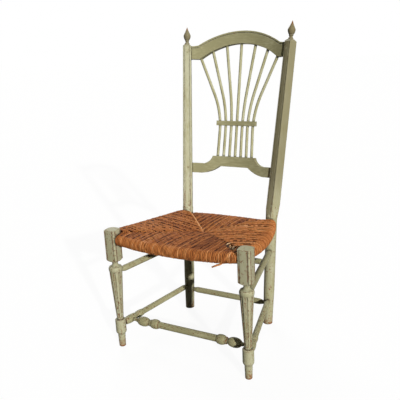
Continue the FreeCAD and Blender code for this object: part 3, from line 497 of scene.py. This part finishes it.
class Panel:
    """One of the seat's four panels: its rail, which bows, sags and thins at its ends, and its tone."""

    def __init__(self, name, start, end, bow, sag, margins, tone):
        self.name = name
        self.start = Vector(start)
        self.end = Vector(end)
        self.bow = bow
        self.sag = sag
        self.margins = margins
        self.tone = tone
        way = self.end - self.start
        self.length = way.length
        self.along = way.normalized()
        flat = Vector((way.x, way.y, 0)).normalized()
        self.inward = Vector((-flat.y, flat.x, 0))
        self.up = self.along.cross(self.inward)
        self.middle = (self.start + self.end) / 2
        centre = Vector(SEAT_CENTRE) - self.middle
        self.reach = centre.dot(self.inward)
        self.centre_x = centre.dot(self.along)
        self.rise = centre.dot(self.up)
        self.depth = SEAT_THICKNESS * self.up.z - self.rise

    def seam(self, x):
        """How far in from the line between the rail's ends the seam lies."""
        half = self.length / 2
        if x < self.centre_x:
            return self.reach * (x + half) / (self.centre_x + half)
        return self.reach * (half - x) / (half - self.centre_x)

    def point(self, x, y, z):
        """A point given along the rail, in from it and up, in the chair's frame."""
        return seat_point(*(self.middle + self.along * x + self.inward * y + self.up * z))

    def roll(self, x):
        """Place across, height and radius of the roll of rush round the rail."""
        share = 2 * x / self.length
        swell = 1 - share ** 2
        radius = ROLL_END + (ROLL_MIDDLE - ROLL_END) * (1 - share ** 6)
        return -self.bow * swell, -self.sag * swell, radius

    def top(self, x, y, lift):
        """Height of the upper face, raised by lift."""
        rail_y, rail_z, radius = self.roll(x)
        share = (y - rail_y) / (self.reach - rail_y)
        edge = rail_z + radius
        return edge + (self.rise - edge) * share + 4 * SEAT_CROWN * share * (1 - share) + lift

    def under(self, x, y, lift):
        """Height of the underside, lowered by lift."""
        rail_y, rail_z, radius = self.roll(x)
        share = (y - rail_y) / (self.reach - rail_y)
        edge = rail_z - radius
        return edge + (-self.depth - edge) * share - lift

    def seam_lift(self, x):
        """How far the strands rise at a front seam, to come nearer the panel on its other side."""
        number = PANELS.index(self)
        other = PANELS[(number - 1 if x < self.centre_x else number + 1) % len(PANELS)]
        if "front" not in (self.name, other.name):
            return 0.0
        y = self.seam(x)
        own = self.middle + self.along * x + self.inward * y + self.up * self.top(x, y, 0.0)
        away = own - other.middle
        other_x = away.dot(other.along)
        other_y = away.dot(other.inward)
        facing = other.middle + other.along * other_x + other.inward * other_y
        facing += other.up * other.top(other_x, other_y, 0.0)
        return (facing.z - own.z) * SEAM_LEVEL_SHARE

    def runs_across(self):
        """Whether its strands run from side to side, as the left and right panels' do."""
        return self.name in ("left", "right")

    def strand_places(self):
        """Where strands cross the rail, drawn together in twos to fours, with a sunken strand between.
        Each place is x, the group's sway and whether the strand is sunken."""
        half = self.length / 2
        high = half - self.margins[1]
        gap = ACROSS_GAP if self.runs_across() else DEEP_GAP
        x = -half + self.margins[0] + STRAND_PITCH / 2
        places = []
        while x < high:
            phase = draw.uniform(0, 2 * math.pi)
            sway = (phase, draw.uniform(*SWAY_WIDTHS), draw.uniform(*SWAY_LENGTHS))
            for step in range(draw.choice(GROUP_SIZES)):
                if x < high:
                    places.append((x, sway, False))
                x += STRAND_PITCH
            if x < high:
                places.append((x - STRAND_PITCH / 2 + gap / 2, sway, True))
            x += gap
        return places

    def profile(self, x, lift):
        """Section across the rail from the seam below, round the roll, to the seam above."""
        seam = self.seam(x)
        rail_y, rail_z, radius = self.roll(x)
        points = []
        for step in range(UNDER_STEPS):
            y = seam + (rail_y - seam) * step / UNDER_STEPS
            points.append((y, self.under(x, y, lift)))
        for step in range(ROLL_STEPS + 1):
            angle = math.pi * (1.5 - step / ROLL_STEPS)
            reach = radius + lift
            points.append((rail_y + reach * math.cos(angle), rail_z + reach * math.sin(angle)))
        seam_lift = self.seam_lift(x)
        for step in range(1, TOP_STEPS + 1):
            y = rail_y + (seam - rail_y) * step / TOP_STEPS
            near = max(0.0, 1 - (seam - y) / min(SEAM_LEVEL_REACH, seam - rail_y))
            points.append((y, self.top(x, y, lift) + seam_lift * near * near))
        return points


# Each panel's tone is partly painted light: the right panel, where light falls strongest, is lightest,
# and the front and rear darker.
PANELS = [
    Panel(
        "front",
        start=(-0.206, 0, 0.341),
        end=(0.206, 0, 0.341),
        bow=0.020,
        sag=0.004,
        margins=(0.0200, 0.0200),
        tone=0.34,
    ),
    Panel(
        "right",
        start=(0.206, 0, 0.352),
        end=(0.14677, 0.33161, 0.329),
        bow=0.015,
        sag=0.008,
        margins=(0.021, 0.0195),
        tone=0.88,
    ),
    Panel(
        "rear",
        start=(0.14658, 0.33048, 0.316),
        end=(-0.14658, 0.33048, 0.316),
        bow=0.008,
        sag=0.001,
        margins=(0.0195, 0.0195),
        tone=0.30,
    ),
    Panel(
        "left",
        start=(-0.14677, 0.33161, 0.329),
        end=(-0.206, 0, 0.352),
        bow=0.015,
        sag=0.008,
        margins=(0.0195, 0.021),
        tone=0.46,
    ),
]

# The worn hole beside the right front leg: strands of the front panel broken off at the seam
FRAY_LOW = 0.130
FRAY_HIGH = 0.168
FRAY_CUT = 0.020
FRAY_COUNT = 16
FRAY_SIDES = 6
FRAY_TONES = (2.2, 1.6, 1.0)
FRAY_LENGTHS = (0.008, 0.020)
FRAY_RADII = (0.0010, 0.0019)
FRAY_TAPER = (1.0, 0.9, 0.35)

# The loose end that hangs under the front edge
LOOSE_END_X = 0.146
LOOSE_END_TONE = (0.85, 0.9, 0.0)
LOOSE_END_RADII = [0.0020, 0.0026, 0.0028, 0.0027, 0.0020]


class Tubes:
    """Gathers tubes with a strand tone and a map along them, then makes one object."""

    def __init__(self):
        self.verts = []
        self.faces = []
        self.tones = []
        self.maps = []

    def tube(self, points, radii, tones, sides, stretch=1.0):
        """A closed tube through points, with its own radius and tone at each.
        Stretch scales the map along it."""
        base = len(self.verts)
        count = len(points)
        travelled = 0.0
        side = None
        for index, point in enumerate(points):
            before = points[max(index - 1, 0)]
            after = points[min(index + 1, count - 1)]
            way = (after - before).normalized()
            if side is None:
                side = way.orthogonal().normalized()
            side = (side - way * side.dot(way)).normalized()
            other = way.cross(side)
            travelled += (point - before).length
            for k in range(sides):
                angle = 2 * math.pi * k / sides
                offset = side * math.cos(angle) + other * math.sin(angle)
                self.verts.append(point + offset * radii[index])
                self.tones.append(tones[index])
                self.maps.append((k / sides, travelled * stretch))
        for index in range(count - 1):
            for k in range(sides):
                a = base + index * sides + k
                b = base + index * sides + (k + 1) % sides
                self.faces.append((a, b, b + sides, a + sides))
        self.faces.append(tuple(base + k for k in reversed(range(sides))))
        self.faces.append(tuple(base + (count - 1) * sides + k for k in range(sides)))

    def object(self, name, material):
        """One piece of all the tubes so far, set on the chair's body and in its material slot."""
        data = bpy.data.meshes.new(name)
        data.from_pydata([tuple(v) for v in self.verts], [], self.faces)
        tones = data.color_attributes.new("strand", "FLOAT_COLOR", "POINT")
        for entry, tone in zip(tones.data, self.tones):
            entry.color = (tone[0], tone[1], tone[2], 1.0)
        layer = data.uv_layers.new(name="strand_uv")
        for loop in data.loops:
            layer.data[loop.index].uv = self.maps[loop.vertex_index]
        data.polygons.foreach_set("use_smooth", [True] * len(data.polygons))
        data.materials.append(material)
        piece = bpy.data.objects.new(name, data)
        bpy.context.scene.collection.objects.link(piece)
        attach(piece, "root")
        return piece


def strand(mesh, panel, x, group, sunken):
    """One twisted strand, from the seam below, round the rail, to the seam above.
    Group is the phase, width and length of the sway that it shares with its neighbours."""
    lift = -STRAND_RADIUS * STRAND_SINK + draw.uniform(*HEIGHT_SPREAD)
    radius = STRAND_RADIUS * draw.uniform(*RADIUS_SPREAD)
    if sunken and panel.runs_across():
        radius = ACROSS_SUNKEN_RADIUS
    elif sunken:
        lift -= DEEP_SUNKEN_DROP
        radius = DEEP_SUNKEN_RADIUS
    phase, sway, wave = group
    profile = panel.profile(x, lift)
    broken = panel.name == "front" and FRAY_LOW < x < FRAY_HIGH
    points = []
    travelled = 0.0
    last = profile[0]
    for y, z in profile:
        travelled += math.hypot(y - last[0], z - last[1])
        last = (y, z)
        if broken and y > panel.seam(x) - FRAY_CUT and z > 0:
            break
        aside = sway * math.sin(phase + 2 * math.pi * travelled / wave)
        points.append(panel.point(x + aside, y, z))
    if not broken:
        y, z = profile[-1]
        points.append(panel.point(x, y + STRAND_RADIUS, z - SEAM_DIVE))
    first_y, first_z = profile[0]
    points.insert(0, panel.point(x, first_y + STRAND_RADIUS, first_z + SEAM_DIVE))
    beat = draw.uniform(0, 2 * math.pi)
    radii = [radius * (1 + LUMP_SHARE * math.sin(beat + i * LUMP_STEP)) for i in range(len(points))]
    own = draw.random()
    tones = []
    for index in range(len(points)):
        if index > UNDER_STEPS + ROLL_STEPS + 1:
            tones.append((own, panel.tone, float(sunken)))
        else:
            # Painted light: the front roll is made lighter.
            lighter = FRONT_ROLL_PAINTED_LIGHT if panel.name == "front" else 0.0
            even = 0.5 + (own - 0.5) * ROLL_TONE_SHARE
            tones.append((even, panel.tone + lighter, sunken * ROLL_SUNKEN_SHARE))
    # Painted highlight: the strand ends along the left rear seam are made pale, where light catches the
    # ridge.
    if panel.name == "left" and x < panel.centre_x:
        tones[-2:] = [SEAM_HIGHLIGHT_TONE] * 2
    stretch = 1.0 if panel.runs_across() else DEEP_MAP_STRETCH
    mesh.tube(points, radii, tones, STRAND_SIDES, stretch)


def add_weave(material):
    """All strands of the four panels, as one piece."""
    mesh = Tubes()
    for panel in PANELS:
        for x, group, sunken in panel.strand_places():
            strand(mesh, panel, x, group, sunken)
    piece = mesh.object("rush_weave", material)
    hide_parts("rush_seat")


def add_core(material):
    """The closed dark body just under the strands, one wedge for each panel."""
    verts = []
    faces = []
    for panel in PANELS:
        half = panel.length / 2
        low = -half + panel.margins[0]
        high = half - panel.margins[1]
        base = len(verts)
        ring = 0
        for step in range(CORE_STEPS + 1):
            x = low + (high - low) * step / CORE_STEPS
            profile = panel.profile(x, -CORE_INSET)
            ring = len(profile)
            verts.extend(tuple(panel.point(x, y, z)) for y, z in profile)
        for step in range(CORE_STEPS):
            for k in range(ring):
                a = base + step * ring + k
                b = base + step * ring + (k + 1) % ring
                faces.append((a, b, b + ring, a + ring))
        faces.append(tuple(base + k for k in reversed(range(ring))))
        faces.append(tuple(base + CORE_STEPS * ring + k for k in range(ring)))
    data = bpy.data.meshes.new("rush_core")
    data.from_pydata(verts, [], faces)
    data.materials.append(material)
    piece = bpy.data.objects.new("rush_core", data)
    bpy.context.scene.collection.objects.link(piece)
    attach(piece, "root")


def add_frayed_ends(material):
    """Pale broken ends round the worn hole, and the loose end that hangs under the front edge."""
    mesh = Tubes()
    panel = PANELS[0]
    for number in range(FRAY_COUNT):
        x = draw.uniform(FRAY_LOW - 0.004, FRAY_HIGH + 0.006)
        y = max(panel.seam(x) - FRAY_CUT * draw.uniform(0.3, 1.2), 0.004)
        start = panel.point(x, y, panel.top(x, y, -0.002))
        reach = draw.uniform(*FRAY_LENGTHS)
        bend = Vector((draw.uniform(-0.8, 0.8), draw.uniform(-0.2, 1.0), draw.uniform(0.1, 0.7)))
        middle = start + bend.normalized() * reach * 0.5
        droop = Vector((draw.uniform(-0.6, 0.6), 0.3, -0.5))
        tip = middle + (bend + droop).normalized() * reach * 0.5
        thick = draw.uniform(*FRAY_RADII)
        tone = (FRAY_TONES[number % len(FRAY_TONES)], 1.0, 0.0)
        radii = [thick * share for share in FRAY_TAPER]
        mesh.tube([start, middle, tip], radii, [tone] * len(radii), FRAY_SIDES)
    rail_y, rail_z, radius = panel.roll(LOOSE_END_X)
    under = panel.point(LOOSE_END_X, rail_y - 0.002, rail_z - radius + 0.001)
    elbow = under + Vector((-0.013, -0.006, -0.006))
    end = elbow + Vector((-0.012, -0.006, -0.005))
    tail = [
        under + Vector((0.02, 0.006, 0.002)),
        under,
        (under + elbow) / 2 - Vector((0, 0, 0.001)),
        elbow,
        end,
    ]
    mesh.tube(tail, LOOSE_END_RADII, [LOOSE_END_TONE] * len(tail), STRAND_SIDES)
    mesh.object("rush_loose_ends", material)


# Finishes of the wooden pieces

# Noise scale along x, y and z for grain that runs along one of them
GRAIN_ALONG_X = (0.12, 1.0, 1.0)
GRAIN_ALONG_Y = (1.0, 0.12, 1.0)
GRAIN_ALONG_Z = (1.0, 1.0, 0.10)

# Heights below and above which the paint is worn to bare wood: feet and finial tips, or nowhere
WORN_ENDS = (0.03, 0.902)
WHOLE_ENDS = (0.001, 2.0)

# Heights between which the paint goes browner, and by how much
BLOCK_GLAZE = (0.262, 0.275, 0.20)
LEFT_POST_GLAZE = (0.855, 0.875, 0.60)
# The right post's browning is painted shade on its face, with some grime.
RIGHT_POST_SHADE = (0.36, 0.46, 0.72)


def finish_wood():
    """Gives each wooden piece paint with the grain along it, and the hidden rails bare wood."""
    # The copies of the paint differ in lightness, partly in the paint and partly as painted light and
    # shade: the left post is lighter and the rails across darker, after how light falls on them.
    spindle = paint("paint_upright", GRAIN_ALONG_Z, *WORN_ENDS, lightness=0.03)
    front = paint("paint_front_leg", GRAIN_ALONG_Z, *WORN_ENDS, lightness=0.12, glaze_and_shade=BLOCK_GLAZE)
    left = paint("paint_left_post", GRAIN_ALONG_Z, *WORN_ENDS, lightness=0.13, glaze_and_shade=LEFT_POST_GLAZE)
    right = paint("paint_right_post", GRAIN_ALONG_Z, *WORN_ENDS, lightness=0.09, glaze_and_shade=RIGHT_POST_SHADE)
    across = paint("paint_across", GRAIN_ALONG_X, *WHOLE_ENDS, lightness=-0.14)
    deep = paint("paint_deep", GRAIN_ALONG_Y, *WHOLE_ENDS, lightness=-0.04)
    bare = bare_wood("bare_wood")
    for node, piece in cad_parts.items():
        if node == "rush_seat":
            continue
        if node == "rear_post_left":
            material = left
        elif node == "rear_post_right":
            material = right
        elif node.startswith("front_leg"):
            material = front
        elif node.startswith("spindle_") and node != "spindle_band":
            material = spindle
        elif "side_stretcher" in node:
            material = deep
        elif node.startswith("seat_rail"):
            material = bare
        else:
            material = across
        if not piece.material_slots:
            raise RuntimeError("no material slot on " + node)
        for slot in piece.material_slots:
            slot.material = material


# Light and floor

FLOOR_HALF = 30.0
FLOOR_COLOUR = (0.93, 0.93, 0.92)
FLOOR_PALE = (0.95, 0.95, 0.94)
FLOOR_BOUNCE = (0.05, 0.05, 0.047)
FLOOR_GLOW = 0.93
WORLD_COLOUR = (1.0, 1.0, 1.0)
FILL_LEVEL = 0.02
WARM_WHITE = (1.0, 0.98, 0.95)
WHITE = (1.0, 1.0, 1.0)


def seen_directly(tree):
    """1 for rays that reach the eye straight, by reflection or through glass.
    0 for rays that carry light to the object."""
    path = tree.nodes.new("ShaderNodeLightPath")
    total = path.outputs["Is Camera Ray"]
    for name in ("Is Glossy Ray", "Is Transmission Ray"):
        node = tree.nodes.new("ShaderNodeMath")
        node.operation = "MAXIMUM"
        tree.links.new(total, node.inputs[0])
        tree.links.new(path.outputs[name], node.inputs[1])
        total = node.outputs["Value"]
    return total


def add_floor():
    """A pale floor that shows close to white and still takes the chair's shadow."""
    data = bpy.data.meshes.new("floor")
    corners = [
        (-FLOOR_HALF, -FLOOR_HALF, 0),
        (FLOOR_HALF, -FLOOR_HALF, 0),
        (FLOOR_HALF, FLOOR_HALF, 0),
        (-FLOOR_HALF, FLOOR_HALF, 0),
    ]
    data.from_pydata(corners, [], [(0, 1, 2, 3)])
    shader = Shader("floor")
    mottle = shader.noise(shader.coordinates((1, 1, 1)), 3, 2)
    pale = shader.ramp(mottle, [(0.3, FLOOR_COLOUR), (0.7, FLOOR_PALE)])
    seen = seen_directly(shader.tree)
    shader.link(shader.mix(seen, FLOOR_BOUNCE, pale), shader.surface.inputs["Base Color"])
    shader.surface.inputs["Roughness"].default_value = 0.9
    shader.surface.inputs["Specular IOR Level"].default_value = 0.1
    glow = shader.add("ShaderNodeEmission")
    blend = shader.add("ShaderNodeMixShader")
    output = shader.tree.nodes["Material Output"]
    shader.link(shader.math("MULTIPLY", seen, FLOOR_GLOW), blend.inputs["Fac"])
    shader.link(shader.surface.outputs["BSDF"], blend.inputs[1])
    shader.link(glow.outputs["Emission"], blend.inputs[2])
    shader.link(blend.outputs["Shader"], output.inputs["Surface"])
    data.materials.append(shader.material)
    floor = bpy.data.objects.new("floor", data)
    bpy.context.scene.collection.objects.link(floor)


def add_sun(name, azimuth, elevation, spread, strength, colour):
    """A far soft source. Azimuth is degrees from the chair's front towards its right."""
    data = bpy.data.lights.new(name, "SUN")
    data.energy = strength
    data.angle = math.radians(spread)
    data.color = colour
    light = bpy.data.objects.new(name, data)
    turn = math.radians(azimuth)
    rise = math.radians(elevation)
    level = math.cos(rise)
    source = Vector((math.sin(turn) * level, -math.cos(turn) * level, math.sin(rise)))
    light.rotation_euler = source.to_track_quat("Z", "Y").to_euler()
    light.location = source * 3
    bpy.context.scene.collection.objects.link(light)


def add_light():
    """A white surround that lights the chair only weakly, and three soft suns."""
    world = bpy.data.worlds.new("studio")
    world.use_nodes = True
    tree = world.node_tree
    background = tree.nodes["Background"]
    background.inputs["Color"].default_value = rgba(WORLD_COLOUR)
    level = tree.nodes.new("ShaderNodeMapRange")
    level.inputs["To Min"].default_value = FILL_LEVEL
    level.inputs["To Max"].default_value = 1.0
    tree.links.new(seen_directly(tree), level.inputs["Value"])
    tree.links.new(level.outputs["Result"], background.inputs["Strength"])
    bpy.context.scene.world = world
    add_sun("key", azimuth=50, elevation=19, spread=1.5, strength=4.25, colour=WARM_WHITE)
    add_sun("sky", azimuth=50, elevation=78, spread=50, strength=0.8, colour=WHITE)
    add_sun("back", azimuth=225, elevation=32, spread=30, strength=1.6, colour=WHITE)


add_camera()
add_light()
add_floor()
finish_wood()
rush_material = rush("rush")
add_weave(rush_material)
add_core(rush_core_material("rush_core"))
add_frayed_ends(rush_material)
bpy.context.scene.view_settings.view_transform = "Standard"
